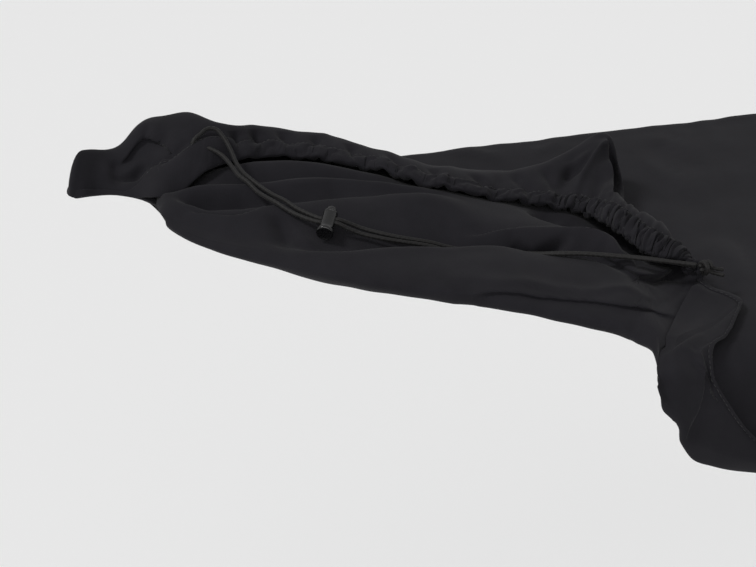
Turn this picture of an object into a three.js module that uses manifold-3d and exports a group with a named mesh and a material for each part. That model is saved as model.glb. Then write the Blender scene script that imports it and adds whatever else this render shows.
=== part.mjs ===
// Keyboard dust cover with its left end folded back over the top, and its drawstring, knot and cord lock.
// Millimetres: +X runs along the keyboard to its treble end, +Y to its back, +Z up.
// The origin lies under the middle of the cover's top, where the keyboard carries it.
import * as THREE from "three";
import { mergeVertices } from "three/addons/utils/BufferGeometryUtils.js";
import Module from "manifold-3d";

const wasm = await Module();
wasm.setup();

// Cloth
const CLOTH_THICK = 1.6;

// Keyboard that the cover fits: its top edges, and the lines where its top bends, from front to back
const FRONT_Y = -170;
const BACK_Y = 170;
const END_X = 480;
const DECK = [
  { y: -200, z: -29 },
  { y: -170, z: -26 },
  { y: -78, z: -5.7 },
  { y: 13, z: 1.9 },
  { y: 170, z: 30 },
  { y: 420, z: 73 },
];
const SKIRT = 86;
const TUCK = 29;
const HEM_RISE = 3;
const HEM_SHARE = 0.09;
const FACE_Y = FRONT_Y - 8;
const END_BULGE = 12;
const BEND = 10;

// Folded-back end, a row for each section from the tail at the back left to the knot.
// fold: plan place of the fold's edge; heading: way the upper layer lies back from it, degrees from +X;
// back: where the lower layer meets the back edge; skirt: its depth behind; nose: how far the fold bulges;
// the rest are [reach from the fold's edge, height above the top] of the upper layer's ridges and valleys.
// steps: mesh rows up to the next section; gather: depth of the hem's pleats.
const FOLDED = [
  { at: "tail tip", steps: 2, gather: 0, fold: [-457, 162], heading: 56, back: -460, skirt: 8, nose: 2,
    lip: [3, 5.5], dip: [6, 7], crest: [9, 8], trough: [12, 9], rim: [15, 10], gap: [18, 11],
    roll: [20, 13], end: [22, 16], puff: [22, 23], top: [12, 29], brow: [-4, 15], hem: [-7, 3.5] },
  { at: "tail", steps: 2, gather: 0, fold: [-434, 162], heading: 62, back: -432, skirt: 8, nose: 2,
    lip: [2, 5], dip: [7, 5.5], crest: [12, 5], trough: [17, 5], rim: [22, 5], gap: [26, 5],
    roll: [30, 6], end: [34, 8], puff: [37, 16], top: [23, 24], brow: [2, 14], hem: [-6.5, 3.5] },
  { at: "band foot", steps: 2, gather: 0, fold: [-415, 149], heading: 66, back: -404, skirt: 9, nose: 2,
    lip: [3, 4], dip: [9, 3.5], crest: [15, 3.5], trough: [22, 3.5], rim: [29, 3.5], gap: [37, 4],
    roll: [46, 5], end: [56, 8], puff: [64, 22], top: [46, 38], brow: [14, 17], hem: [-7, 6] },
  { at: "roll start", steps: 2, gather: 0, fold: [-411, 126], heading: 66, back: -388, skirt: 14, nose: 3,
    lip: [1, 4.5], dip: [4, 5], crest: [9, 5.5], trough: [15, 5], rim: [22, 4], gap: [32, 4],
    roll: [48, 4], end: [72, 5], puff: [84, 23], top: [66, 42], brow: [38, 27], hem: [10, 10] },
  { at: "roll end", steps: 3, gather: 0, fold: [-412, 106], heading: 60, back: -372, skirt: 24, nose: 5,
    lip: [1, 8], dip: [3, 11], crest: [9, 15], trough: [17, 16], rim: [25, 13], gap: [38, 4],
    roll: [58, 4], end: [92, 5], puff: [108, 24], top: [86, 45], brow: [66, 36], hem: [47, 9] },
  { at: "band head", steps: 4, gather: 0, fold: [-402, 77], heading: 60, back: -350, skirt: 42, nose: 4,
    lip: [2, 6], dip: [7, 7.5], crest: [23, 16], trough: [33, 10], rim: [44, 22], gap: [58, 15],
    roll: [78, 17], end: [105, 8], puff: [124, 22], top: [102, 42], brow: [88, 38], hem: [74, 24] },
  { at: "cuff", steps: 4, gather: 2, fold: [-375, 42], heading: 60, back: -318, skirt: 56, nose: 5,
    lip: [4, 9], dip: [11, 11], crest: [35, 23], trough: [49, 15], rim: [66, 26], gap: [84, 11],
    roll: [105, 25], end: [124, 9], puff: [168, 16], top: [147, 32], brow: [131, 31], hem: [118, 25] },
  { at: "lock", steps: 4, gather: 2, fold: [-340, -4], heading: 58, back: -262, skirt: 76, nose: 8,
    lip: [10, 18], dip: [23, 13], crest: [80, 26], trough: [88, 22], rim: [101, 30], gap: [110, 23],
    roll: [121, 28], end: [136, 10], puff: [186, 14], top: [163, 29], brow: [147, 31], hem: [133, 28] },
  { at: "broad", steps: 4, gather: 2, fold: [-302, -38], heading: 54, back: -180, skirt: SKIRT, nose: 5,
    lip: [38, 17], dip: [50, 10], crest: [100, 29], trough: [111, 22], rim: [118, 21], gap: [127, 17],
    roll: [140, 11], end: [158, 7], puff: [178, 13], top: [146, 31], brow: [130, 32], hem: [117, 29] },
  { at: "step", steps: 4, gather: 2, fold: [-270, -66], heading: 48, back: -62, skirt: SKIRT, nose: 3,
    lip: [62, 17], dip: [69, 10], crest: [84, 20], trough: [118, 21], rim: [134, 16.5], gap: [142, 12.5],
    roll: [160, 9], end: [190, 6], puff: [214, 12], top: [188, 27], brow: [164, 24], hem: [141, 19] },
  { at: "peak", steps: 4, gather: 3, fold: [-248, -84], heading: 45, back: 10, skirt: SKIRT, nose: 3,
    lip: [66, 15], dip: [76, 9], crest: [94, 22], trough: [124, 16], rim: [138, 12], gap: [150, 9.5],
    roll: [175, 7], end: [215, 5], puff: [244, 16], top: [230, 43], brow: [188, 28], hem: [149, 16] },
  { at: "gathers", steps: 6, gather: 3, fold: [-228, -100], heading: 43, back: 60, skirt: SKIRT, nose: 3,
    lip: [70, 14], dip: [80, 8], crest: [96, 25], trough: [110, 14], rim: [122, 8], gap: [132, 5],
    roll: [146, 5], end: [170, 5], puff: [176, 9], top: [152, 29], brow: [136, 28], hem: [118, 21] },
  { at: "loop", steps: 5, gather: 3, fold: [-200, -122], heading: 40, back: 120, skirt: SKIRT, nose: 3,
    lip: [30, 15], dip: [48, 12], crest: [60, 10], trough: [70, 8], rim: [80, 6], gap: [88, 5],
    roll: [96, 5], end: [108, 5], puff: [120, 12], top: [104, 29], brow: [90, 27], hem: [76, 20] },
  { at: "knot", steps: 1, gather: 0, fold: [-191, -135], heading: 31.7, back: 160, skirt: SKIRT, nose: 3,
    lip: [5, 8], dip: [12, 10], crest: [21, 10], trough: [31, 9], rim: [41, 8], gap: [52, 7],
    roll: [62, 7], end: [72, 7], puff: [80, 8], top: [86, 10], brow: [89, 14], hem: [88, 19] },
  { at: "brink", steps: 1, gather: 0, fold: [-204, -161], heading: 36, back: 176, skirt: SKIRT, nose: 4,
    lip: [2, 8], dip: [6, 10], crest: [12, 10], trough: [20, 9], rim: [34, 8], gap: [48, 7],
    roll: [62, 7], end: [76, 7], puff: [88, 7.5], top: [98, 8], brow: [107, 9], hem: [115, 10] },
];
const RIDGES = ["lip", "dip", "crest", "trough", "rim", "gap", "roll", "end", "puff", "top", "brow", "hem"];
const FRONT_COLUMNS = ["fold", "nose", ...RIDGES];

// Turned-up front, where the fold's edge hangs below the front edge as a loose lobe.
// foldX and drop: place of the fold's edge below the front edge; edgeX, overX: where the lower layer and the
// upper one cross that edge; turn: how far the cloth turns at the fold, degrees; up: its length beyond it;
// heading: way it lies back over the top; loose: gap between the layers.
const LOBE = [
  { at: "leaf edge", steps: 1, back: 192, edgeX: -203, foldX: -209, drop: 8,
    turn: 180, overX: -205, up: 137, heading: 36, loose: 8 },
  { at: "leaf", steps: 2, back: 212, edgeX: -196, foldX: -206, drop: 16,
    turn: 180, overX: -198, up: 133, heading: 31, loose: 10 },
  { at: "leaf tip", steps: 1, back: 232, edgeX: -188, foldX: -199, drop: 26,
    turn: 180, overX: -191, up: 123, heading: 28, loose: 12 },
  { at: "waist", steps: 1, back: 252, edgeX: -178, foldX: -191, drop: 38,
    turn: 180, overX: -182, up: 96, heading: 24, loose: 12 },
  { at: "pinch", steps: 1, back: 270, edgeX: -166, foldX: -180, drop: 47,
    turn: 180, overX: -174, up: 64, heading: 4, loose: 12 },
  { at: "brim", steps: 1, back: 284, edgeX: -151, foldX: -164, drop: 55,
    turn: 180, overX: -167, up: 52, heading: 10, loose: 12 },
  { at: "turn", steps: 1, back: 296, edgeX: -133, foldX: -144, drop: 62,
    turn: 180, overX: -158, up: 36, heading: 10, loose: 12 },
  { at: "turn end", steps: 2, back: 306, edgeX: -112, foldX: -120, drop: 67,
    turn: 180, overX: -148, up: 12, heading: 10, loose: 12 },
  { at: "flick", steps: 2, back: 314, edgeX: -88, foldX: -92, drop: 70,
    turn: 100, overX: -120, up: 14, heading: 10, loose: 12 },
  { at: "flare", steps: 2, back: 324, edgeX: -60, foldX: -62, drop: 71,
    turn: 40, overX: -80, up: 14, heading: 10, loose: 12 },
];

// Fitted part, where the front hem goes straight down and is then drawn in under the keyboard
const FITTED = [
  { at: "hang", steps: 1, front: -34, back: 334, drop: 80, tuck: 0, backTuck: 1, even: 0 },
  { at: "slack", steps: 2, front: 14, back: 350, drop: 68, tuck: 12, backTuck: 1, even: 0.5 },
  { at: "easing", steps: 2, front: 80, back: 375, drop: 46, tuck: 30, backTuck: 1, even: 1 },
  { at: "snug", steps: 2, front: 220, back: 420, drop: 34, tuck: 34, backTuck: 1, even: 1 },
  { at: "near end", steps: 1, front: 430, back: 450, drop: 34, tuck: 18, backTuck: 0.5, even: 1 },
  { at: "end edge", steps: 1, front: END_X, back: END_X, drop: 36, tuck: 0, backTuck: 0, even: 1 },
];

// Right end wall down to its hem, as shares of the way, left plain
const END_WALL = [
  { share: 0.3, steps: 1 },
  { share: 0.7, steps: 1 },
  { share: 1, steps: 1 },
];

// Mesh columns from the back hem to the front hem, between one control line and the next
const COLUMN_STEPS = [1, 1, 1, 1, 1, 1, 1, 1, 1, 1, 2, 2, 2, 2, 2, 2, 2, 2, 2, 2, 2, 2, 2];
const GATHER_SHARE = { top: 0.3, brow: 0.7, hem: 1 };

// Drawstring
const CORD_DIAMETER = 3;
const CORD_SIDES = 8;
const CORD_STEP = 7;
// Strand from the upper exit in the hem, over the fold, through the lock and on to the knot
const UPPER_ROUTE = [
  [-374.9, 153, 59], [-376.2, 151, 61.2], [-374, 151.6, 64.6], [-369.6, 152.8, 67.2],
  [-363.4, 154.6, 70.2], [-357.9, 153.4, 69.8], [-354.4, 147.2, 65], [-352.8, 138, 58],
  [-353.8, 126, 52.2], [-354, 114, 48.4], [-352.6, 102, 46], [-347.4, 90.2, 40.6], [-341.4, 78, 37.4],
  [-338.4, 68.8, 39.4], [-335.6, 58, 36], [-332.6, 46, 33.8], [-329.3, 39.4, 32.4], [-324.5, 35.8, 32.3],
  [-319.7, 32.2, 32.3], [-313, 31, 29.6], [-304.6, 28.2, 25.8], [-293.9, 20.6, 22.9],
  [-282.2, 14.2, 20.3], [-264.2, 5.8, 17.4], [-252, 0, 16.2], [-237, -6, 15.3], [-222.4, -12.8, 14.9],
  [-210.5, -20.5, 14.8], [-201.5, -31, 15.2], [-192.5, -41, 15.2], [-181, -49.5, 14.4],
  [-161, -63, 14], [-142, -78.2, 13.4], [-121.6, -94.1, 10.6],
];
// Strand from the lower exit, below the first one
const LOWER_ROUTE = [
  [-365.5, 146.6, 57.4], [-366.6, 144.6, 58.9], [-364, 141.4, 58], [-360.6, 134, 55.6],
  [-358.6, 122, 51], [-358.4, 110, 47.4], [-356, 100, 45], [-351.4, 88.8, 38.8], [-350.6, 76, 38],
  [-349, 67.2, 38.6], [-343.4, 56, 34.4], [-337.4, 44.2, 32.2], [-331.3, 36.8, 30.9], [-326.5, 33.2, 30.9],
  [-321.7, 29.6, 30.9], [-315.4, 26.8, 27.4], [-307.6, 23.6, 23.8], [-296.2, 16.8, 21], [-284, 11, 18.7],
  [-266, 2.6, 16], [-254.4, -3.8, 15], [-239.6, -9.6, 15.6], [-225.4, -16, 15.6], [-213.4, -23.8, 16],
  [-204.4, -34, 16.8], [-195.2, -44, 16.4], [-183.4, -52.5, 15.4], [-163.4, -66, 14.8],
  [-144.4, -81.2, 14.2], [-123.1, -96.8, 12.8],
];

// Cord lock: a round barrel flared at its foot, and a push button that slides in it.
// Its own frame has the cords running along x, one above the other, and the button's end up along z.
const LOCK = { at: [-325.5, 34.5, 31.6], cord: [0.8, -0.6, 0], up: [0.55, 0.73, 0.405] };
const BARREL = { radius: 4.9, foot: 5.8, bottom: -13, top: 8, bore: 3.75, floor: -11.4 };
const BUTTON = { radius: 3.4, bottom: -8, top: 12.6, travel: 3 };
const CORD_SLOT = { width: 4.2, half: 3.9 };

// Knot that ties both strands, with its two cut ends
const KNOT = { at: [-117.5, -97.8, 10.4], core: 4.6, wrap: 4.2, tail: 13 };

function deckHeight(y) {
  const last = DECK.length - 2;
  const i = Math.min(last, Math.max(0, DECK.findIndex((bend) => bend.y > y) - 1));
  const [a, b] = [DECK[i], DECK[i + 1]];
  return THREE.MathUtils.mapLinear(y, a.y, b.y, a.z, b.z);
}

// Lower layer behind the keyboard, from its hem up to the back edge
function backSkirt(x, depth, tuck) {
  const top = deckHeight(BACK_Y);
  const rise = Math.min(HEM_RISE, HEM_SHARE * depth);
  return [
    new THREE.Vector3(x, BACK_Y + 3 - TUCK * tuck, top - depth),
    new THREE.Vector3(x, BACK_Y + 4 - 10 * tuck, top - depth + rise - 5 * tuck),
    new THREE.Vector3(x, BACK_Y + 5, top - 0.82 * depth),
    new THREE.Vector3(x, BACK_Y + 5, top - 0.42 * depth),
    new THREE.Vector3(x, BACK_Y + 2, top - 1.5),
  ];
}

// Lower layer over the top, from the back edge towards a plan place
function deckLine(backX, x, y, shares) {
  return shares.map((share) => {
    const lineY = THREE.MathUtils.lerp(BACK_Y, y, share);
    return new THREE.Vector3(THREE.MathUtils.lerp(backX, x, share), lineY, deckHeight(lineY));
  });
}

const DECK_SHARES = [0.04, 0.25, 0.5, 0.75];

function foldedSection(row) {
  const [foldX, foldY] = row.fold;
  const heading = THREE.MathUtils.degToRad(row.heading);
  const place = (reach, height) => {
    const y = foldY + reach * Math.sin(heading);
    return new THREE.Vector3(foldX + reach * Math.cos(heading), y, deckHeight(y) + height);
  };
  const nose = place(-row.nose, 0);
  nose.z = deckHeight(foldY) + row.lip[1] / 2;
  return [
    ...backSkirt(row.back, row.skirt, THREE.MathUtils.clamp((row.skirt - SKIRT + 30) / 30, 0, 1)),
    ...deckLine(row.back, foldX, foldY, [...DECK_SHARES, 0.93]),
    place(0, 0.3),
    nose,
    ...RIDGES.map((name) => place(...row[name])),
  ];
}

// Points of the front columns, by their distances along a path that starts at the front edge
const frontColumns = (distances, pathPoint) => FRONT_COLUMNS.map((_, i) => pathPoint(distances[i]));

// Share of the way up the lobe's face of the ridges that lie on it; the rest lie on top
const FACE_SHARES = [0.15, 0.4, 0.65, 0.9];

function lobeDistances(row, down, round, climb) {
  const face = Math.min(climb, 0.7 * row.up);
  const rest = (row.up - face) / (RIDGES.length - FACE_SHARES.length);
  const ridges = RIDGES.map((_, i) => (
    i < FACE_SHARES.length ? face * FACE_SHARES[i] : face + rest * (i + 1 - FACE_SHARES.length)
  ));
  return [0.6 * down, down + round / 2, ...ridges.map((up) => down + round + up)];
}

// The hem's columns lie close together next to the lobe and evenly further on
function fittedDistances(row) {
  const length = row.drop + row.tuck;
  return FRONT_COLUMNS.map((_, i) => {
    const even = (i + 1) / FRONT_COLUMNS.length;
    const close = i === 0 ? 0.4 : 0.62 + (0.38 * (i - 1)) / RIDGES.length;
    return length * THREE.MathUtils.lerp(close, even, row.even);
  });
}

// Down the front, round the fold's edge, and up over the front edge again
function lobeSection(row) {
  const heading = THREE.MathUtils.degToRad(row.heading);
  const edge = new THREE.Vector3(row.edgeX, FRONT_Y, deckHeight(FRONT_Y));
  const over = new THREE.Vector3(row.overX, FRONT_Y, edge.z);
  const fold = new THREE.Vector3(row.foldX, FACE_Y, edge.z - row.drop);
  const down = edge.distanceTo(fold);
  const climb = fold.distanceTo(over);
  const radius = row.loose / 2;
  const turn = THREE.MathUtils.degToRad(row.turn);
  const round = turn * radius;
  const around = (angle) => fold.clone().add(
    new THREE.Vector3(0, radius * (Math.cos(angle) - 1), -radius * Math.sin(angle)),
  );
  const pathPoint = (along) => {
    if (along < down) {
      return edge.clone().lerp(fold, along / down);
    }
    const up = along - down - round;
    if (up < 0) {
      return around((along - down) / radius);
    }
    if (row.turn < 180) {
      const way = new THREE.Vector3(0, -Math.sin(turn), 0);
      way.addScaledVector(fold.clone().sub(edge), (1 + Math.cos(turn)) / 2 / down);
      way.addScaledVector(over.clone().sub(fold), (1 - Math.cos(turn)) / 2 / climb);
      return around(turn).addScaledVector(way.normalize(), up);
    }
    const onTop = Math.max(0, up - climb);
    const point = fold.clone().lerp(over, Math.min(1, up / climb));
    point.x += onTop * Math.cos(heading);
    point.y += onTop * Math.sin(heading);
    point.z = onTop > 0 ? deckHeight(point.y) : point.z;
    const lean = THREE.MathUtils.smoothstep(up, climb - BEND, climb + BEND);
    return point.addScaledVector(new THREE.Vector3(0, lean - 1, lean).normalize(), row.loose);
  };
  return [
    ...backSkirt(row.back, SKIRT, 1),
    ...deckLine(row.back, row.edgeX, FRONT_Y, DECK_SHARES),
    edge,
    ...frontColumns(lobeDistances(row, down, round, climb), pathPoint),
  ];
}

// Straight down the front, then in under the keyboard
function fittedSection(row) {
  const edge = new THREE.Vector3(row.front, FRONT_Y, deckHeight(FRONT_Y));
  const pathPoint = (along) => {
    const under = Math.max(0, along - row.drop);
    const turn = Math.min(Math.PI / 2, under / BEND);
    const beyond = Math.max(0, under - (BEND * Math.PI) / 2);
    return new THREE.Vector3(
      row.front,
      THREE.MathUtils.lerp(FRONT_Y, FACE_Y, Math.min(1, along / BEND)) + BEND * (1 - Math.cos(turn)) + beyond,
      edge.z - Math.min(along, row.drop) - BEND * Math.sin(turn),
    );
  };
  return [
    ...backSkirt(row.back, SKIRT, row.backTuck),
    ...deckLine(row.back, row.front, FRONT_Y, DECK_SHARES),
    edge,
    ...frontColumns(fittedDistances(row), pathPoint),
  ];
}

// The end edge's section slid down the end wall
function endSection(section, share) {
  const lengths = [0];
  section.slice(1).forEach((point, i) => lengths.push(lengths[i] + point.distanceTo(section[i])));
  const hemPoint = (i) => section[0].clone().lerp(section.at(-1), lengths[i] / lengths.at(-1));
  return section.map((point, i) => {
    const low = hemPoint(i);
    return new THREE.Vector3(
      END_X + END_BULGE * Math.sin((Math.PI / 2) * share),
      THREE.MathUtils.lerp(point.y, low.y, share ** 2),
      THREE.MathUtils.lerp(point.z, low.z, share),
    );
  });
}

// Points spread along a smooth curve, with so many steps between one control point and the next
function spread(points, steps) {
  const curve = new THREE.CatmullRomCurve3(points, false, "centripetal");
  const spans = points.length - 1;
  const line = [];
  for (let i = 0; i < spans; i += 1) {
    for (let k = 0; k < steps[i]; k += 1) {
      line.push(curve.getPoint((i + k / steps[i]) / spans));
    }
  }
  line.push(points[spans].clone());
  return line;
}

// Numbers spread in straight lines with the same steps
function spreadNumbers(values, steps) {
  const line = [];
  for (let i = 0; i < values.length - 1; i += 1) {
    for (let k = 0; k < steps[i]; k += 1) {
      line.push(THREE.MathUtils.lerp(values[i], values[i + 1], k / steps[i]));
    }
  }
  line.push(values.at(-1));
  return line;
}

const transpose = (grid) => grid[0].map((_, j) => grid.map((line) => line[j]));

function gridNormals(grid) {
  const rows = grid.length;
  const columns = grid[0].length;
  return grid.map((line, i) => line.map((_, j) => {
    const along = grid[Math.min(rows - 1, i + 1)][j].clone().sub(grid[Math.max(0, i - 1)][j]);
    const across = line[Math.min(columns - 1, j + 1)].clone().sub(line[Math.max(0, j - 1)]);
    return across.cross(along).normalize();
  }));
}

// Closed solid of a sheet over a grid of its middle points, each cell split along its shorter diagonal
function sheetGeometry(grid) {
  const rows = grid.length;
  const columns = grid[0].length;
  const normals = gridNormals(grid);
  const positions = [];
  for (const side of [0.5, -0.5]) {
    grid.forEach((line, i) => line.forEach((point, j) => {
      positions.push(...point.clone().addScaledVector(normals[i][j], side * CLOTH_THICK).toArray());
    }));
  }
  const index = [];
  const inner = rows * columns;
  const quad = (a, b, c, d) => index.push(a, b, c, a, c, d);
  for (let i = 0; i < rows - 1; i += 1) {
    for (let j = 0; j < columns - 1; j += 1) {
      const a = i * columns + j;
      const b = a + columns;
      const split = grid[i][j].distanceTo(grid[i + 1][j + 1]);
      if (split <= grid[i][j + 1].distanceTo(grid[i + 1][j])) {
        quad(a, a + 1, b + 1, b);
        quad(inner + a, inner + b, inner + b + 1, inner + a + 1);
      } else {
        quad(a + 1, b + 1, b, a);
        quad(inner + b, inner + b + 1, inner + a + 1, inner + a);
      }
    }
  }
  for (let i = 0; i < rows - 1; i += 1) {
    const a = i * columns;
    const b = a + columns;
    const c = a + columns - 1;
    const d = c + columns;
    quad(a, b, inner + b, inner + a);
    quad(c, inner + c, inner + d, d);
  }
  for (let j = 0; j < columns - 1; j += 1) {
    const a = j;
    const b = (rows - 1) * columns + j;
    quad(a, inner + a, inner + a + 1, a + 1);
    quad(b, b + 1, inner + b + 1, inner + b);
  }
  const geometry = new THREE.BufferGeometry();
  geometry.setAttribute("position", new THREE.Float32BufferAttribute(positions, 3));
  geometry.setIndex(index);
  return geometry;
}

function coverGeometry() {
  const fitted = FITTED.map(fittedSection);
  const sections = [
    ...FOLDED.map(foldedSection),
    ...LOBE.map(lobeSection),
    ...fitted,
    ...END_WALL.map((row) => endSection(fitted.at(-1), row.share)),
  ];
  const rows = [...FOLDED, ...LOBE, ...FITTED, ...END_WALL];
  const steps = rows.map((row) => row.steps);
  const lines = transpose(transpose(sections).map((line) => spread(line, steps)));
  const grid = lines.map((line) => spread(line, COLUMN_STEPS));
  const depths = spreadNumbers(rows.map((row) => row.gather ?? 0), steps);
  const plain = sections[0].length - RIDGES.length;
  const shares = spreadNumbers(
    sections[0].map((_, j) => GATHER_SHARE[RIDGES[j - plain]] ?? 0),
    COLUMN_STEPS,
  );
  const normals = gridNormals(grid);
  grid.forEach((line, i) => line.forEach((point, j) => {
    const turn = i % 2 === 0 ? 1 : -1;
    point.addScaledVector(normals[i][j], turn * depths[i] * shares[j]);
  }));
  return sheetGeometry(grid);
}

function solid(geometry) {
  const plain = geometry.clone();
  plain.deleteAttribute("normal");
  plain.deleteAttribute("uv");
  const joined = mergeVertices(plain);
  return new wasm.Manifold(new wasm.Mesh({
    numProp: 3,
    vertProperties: new Float32Array(joined.getAttribute("position").array),
    triVerts: new Uint32Array(joined.index.array),
  }));
}

function meshed(manifold) {
  const mesh = manifold.getMesh();
  const geometry = new THREE.BufferGeometry();
  geometry.setAttribute("position", new THREE.Float32BufferAttribute(mesh.vertProperties, 3));
  geometry.setIndex(new THREE.Uint32BufferAttribute(mesh.triVerts, 1));
  return geometry;
}

function cordGeometry(route) {
  const path = new THREE.CatmullRomCurve3(route.map((place) => new THREE.Vector3(...place)));
  const corners = Array.from({ length: CORD_SIDES }, (_, i) => {
    const turn = (2 * Math.PI * i) / CORD_SIDES;
    return new THREE.Vector2(Math.cos(turn), Math.sin(turn)).multiplyScalar(CORD_DIAMETER / 2);
  });
  const steps = Math.round(path.getLength() / CORD_STEP);
  const tube = new THREE.ExtrudeGeometry(new THREE.Shape(corners), { extrudePath: path, steps });
  return meshed(solid(tube));
}

// Solid of revolution about z from [radius, height] pairs
function turned(outline) {
  const lathe = new THREE.LatheGeometry(outline.map(([radius, z]) => new THREE.Vector2(radius, z)), 32);
  return solid(lathe.rotateX(Math.PI / 2));
}

// Long hole for the two cords, one above the other
function cordSlot(extra) {
  const height = 2 * CORD_SLOT.half + extra;
  return solid(new THREE.BoxGeometry(20, CORD_SLOT.width, height).translate(0, 0, extra / 2));
}

function barrelGeometry() {
  const { radius, foot, bottom, top, bore, floor } = BARREL;
  const outline = [
    [0, bottom], [foot - 0.5, bottom], [foot, bottom + 0.6], [foot, bottom + 1.8], [radius, bottom + 4.5],
    [radius, top - 0.5], [radius - 0.5, top], [bore, top], [bore, floor], [0, floor],
  ];
  return meshed(turned(outline).subtract(cordSlot(0)));
}

function buttonGeometry() {
  const { radius, bottom, top, travel } = BUTTON;
  const outline = [
    [0, bottom], [radius, bottom], [radius, top - 1.6], [radius - 0.5, top - 0.6], [radius - 1.6, top],
    [0, top],
  ];
  return meshed(turned(outline).subtract(cordSlot(travel)));
}

function knotGeometry() {
  const core = solid(new THREE.SphereGeometry(KNOT.core, 16, 10).scale(1.1, 1, 1.25));
  const wraps = [-24, 28].map((tilt) => solid(
    new THREE.TorusGeometry(KNOT.wrap, CORD_DIAMETER / 2, CORD_SIDES, 20)
      .rotateY(THREE.MathUtils.degToRad(90 + tilt)),
  ));
  const tails = [-8, -38].map((dip) => solid(
    new THREE.CylinderGeometry(CORD_DIAMETER / 2, CORD_DIAMETER / 2, KNOT.tail, CORD_SIDES)
      .translate(0, KNOT.tail / 2, 0)
      .rotateZ(THREE.MathUtils.degToRad(dip - 90)),
  ));
  return meshed([core, ...wraps, ...tails].reduce((whole, piece) => whole.add(piece)));
}

function named(name, geometry, material) {
  const mesh = new THREE.Mesh(geometry, material);
  mesh.name = name;
  return mesh;
}

const CLOTH = new THREE.MeshStandardMaterial({ color: 0x1b1b1e, roughness: 0.9, metalness: 0 });
const CORD = new THREE.MeshStandardMaterial({ color: 0x202022, roughness: 0.7, metalness: 0 });
const PLASTIC = new THREE.MeshStandardMaterial({ color: 0x161618, roughness: 0.35, metalness: 0 });

const part = new THREE.Group();
part.add(named("cover", coverGeometry(), CLOTH));
part.add(named("cord_upper", cordGeometry(UPPER_ROUTE), CORD));
part.add(named("cord_lower", cordGeometry(LOWER_ROUTE), CORD));

const lock = new THREE.Group();
lock.add(named("lock_barrel", barrelGeometry(), PLASTIC));
lock.add(named("lock_button", buttonGeometry(), PLASTIC));
const along = new THREE.Vector3(...LOCK.cord).normalize();
const up = new THREE.Vector3(...LOCK.up).normalize();
const across = up.clone().cross(along).normalize();
lock.quaternion.setFromRotationMatrix(new THREE.Matrix4().makeBasis(across.clone().cross(up), across, up));
lock.position.set(...LOCK.at);
part.add(lock);

const knot = named("knot", knotGeometry(), CORD);
knot.position.set(...KNOT.at);
part.add(knot);

export default part;
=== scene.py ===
"""Keyboard dust cover of black stretch cloth, one end folded back, with its drawstring and cord lock."""
import math

import bpy
import numpy as np
from mathutils import Matrix


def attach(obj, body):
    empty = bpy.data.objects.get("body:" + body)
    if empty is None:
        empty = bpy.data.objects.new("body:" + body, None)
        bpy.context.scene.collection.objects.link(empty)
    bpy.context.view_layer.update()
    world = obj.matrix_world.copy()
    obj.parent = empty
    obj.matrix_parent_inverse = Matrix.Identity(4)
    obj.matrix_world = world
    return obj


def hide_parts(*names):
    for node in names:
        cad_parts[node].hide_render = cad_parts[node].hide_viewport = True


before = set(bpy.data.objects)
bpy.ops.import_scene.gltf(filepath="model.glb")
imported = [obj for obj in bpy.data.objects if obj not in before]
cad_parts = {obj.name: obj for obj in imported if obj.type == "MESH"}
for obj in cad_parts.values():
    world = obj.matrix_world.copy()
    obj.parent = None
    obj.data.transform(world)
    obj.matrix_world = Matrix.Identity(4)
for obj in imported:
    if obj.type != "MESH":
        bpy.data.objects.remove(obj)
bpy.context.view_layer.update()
MM = 0.001

# Camera
LENS_MM = 95.47
SENSOR_MM = 36
CAMERA_AT = (-0.84803, -1.117, 0.41166)
CAMERA_RIGHT = (0.90059805, -0.43458885, 0.00746293)
CAMERA_UP = (0.13161541, 0.28902985, 0.94822947)
CAMERA_BACK = (-0.41424696, -0.85299137, 0.31749831)
CAMERA_FAR = 100


def make_camera():
    data = bpy.data.cameras.new("camera")
    data.lens = LENS_MM
    data.sensor_width = SENSOR_MM
    data.sensor_fit = "HORIZONTAL"
    data.clip_end = CAMERA_FAR
    camera = bpy.data.objects.new("camera", data)
    axes = Matrix((CAMERA_RIGHT, CAMERA_UP, CAMERA_BACK)).transposed()
    camera.matrix_world = Matrix.Translation(CAMERA_AT) @ axes.to_4x4()
    bpy.context.collection.objects.link(camera)
    bpy.context.scene.camera = camera


make_camera()


# Materials
def set_inputs(node, **values):
    for name, value in values.items():
        node.inputs[name.replace("_", " ")].default_value = value


def add_node(tree, kind, **inputs):
    node = tree.nodes.new(kind)
    set_inputs(node, **inputs)
    return node


def new_material(name, color, roughness, **settings):
    """A material, its nodes and its shader."""
    material = bpy.data.materials.new(name)
    material.use_nodes = True
    shader = material.node_tree.nodes["Principled BSDF"]
    set_inputs(shader, Base_Color=(*color, 1), Roughness=roughness, **settings)
    return material, material.node_tree, shader


def add_noise(tree, **inputs):
    """Noise in the piece's own space."""
    place = tree.nodes.new("ShaderNodeTexCoord")
    noise = add_node(tree, "ShaderNodeTexNoise", **inputs)
    tree.links.new(place.outputs["Object"], noise.inputs["Vector"])
    return noise.outputs["Fac"]


def tint(tree, shader, source, low, high, dark, light):
    """Colour from dark to light, as a source runs from low to high."""
    node = tree.nodes.new("ShaderNodeValToRGB")
    for element, position, color in zip(node.color_ramp.elements, (low, high), (dark, light)):
        element.position = position
        element.color = (*color, 1)
    tree.links.new(source, node.inputs["Fac"])
    tree.links.new(node.outputs["Color"], shader.inputs["Base Color"])


def roughen(tree, shader, source, low, high):
    node = add_node(tree, "ShaderNodeMapRange", To_Min=low, To_Max=high)
    tree.links.new(source, node.inputs["Value"])
    tree.links.new(node.outputs["Result"], shader.inputs["Roughness"])


def bump(tree, shader, source, **inputs):
    node = add_node(tree, "ShaderNodeBump", **inputs)
    tree.links.new(source, node.inputs["Height"])
    tree.links.new(node.outputs["Normal"], shader.inputs["Normal"])


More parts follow.
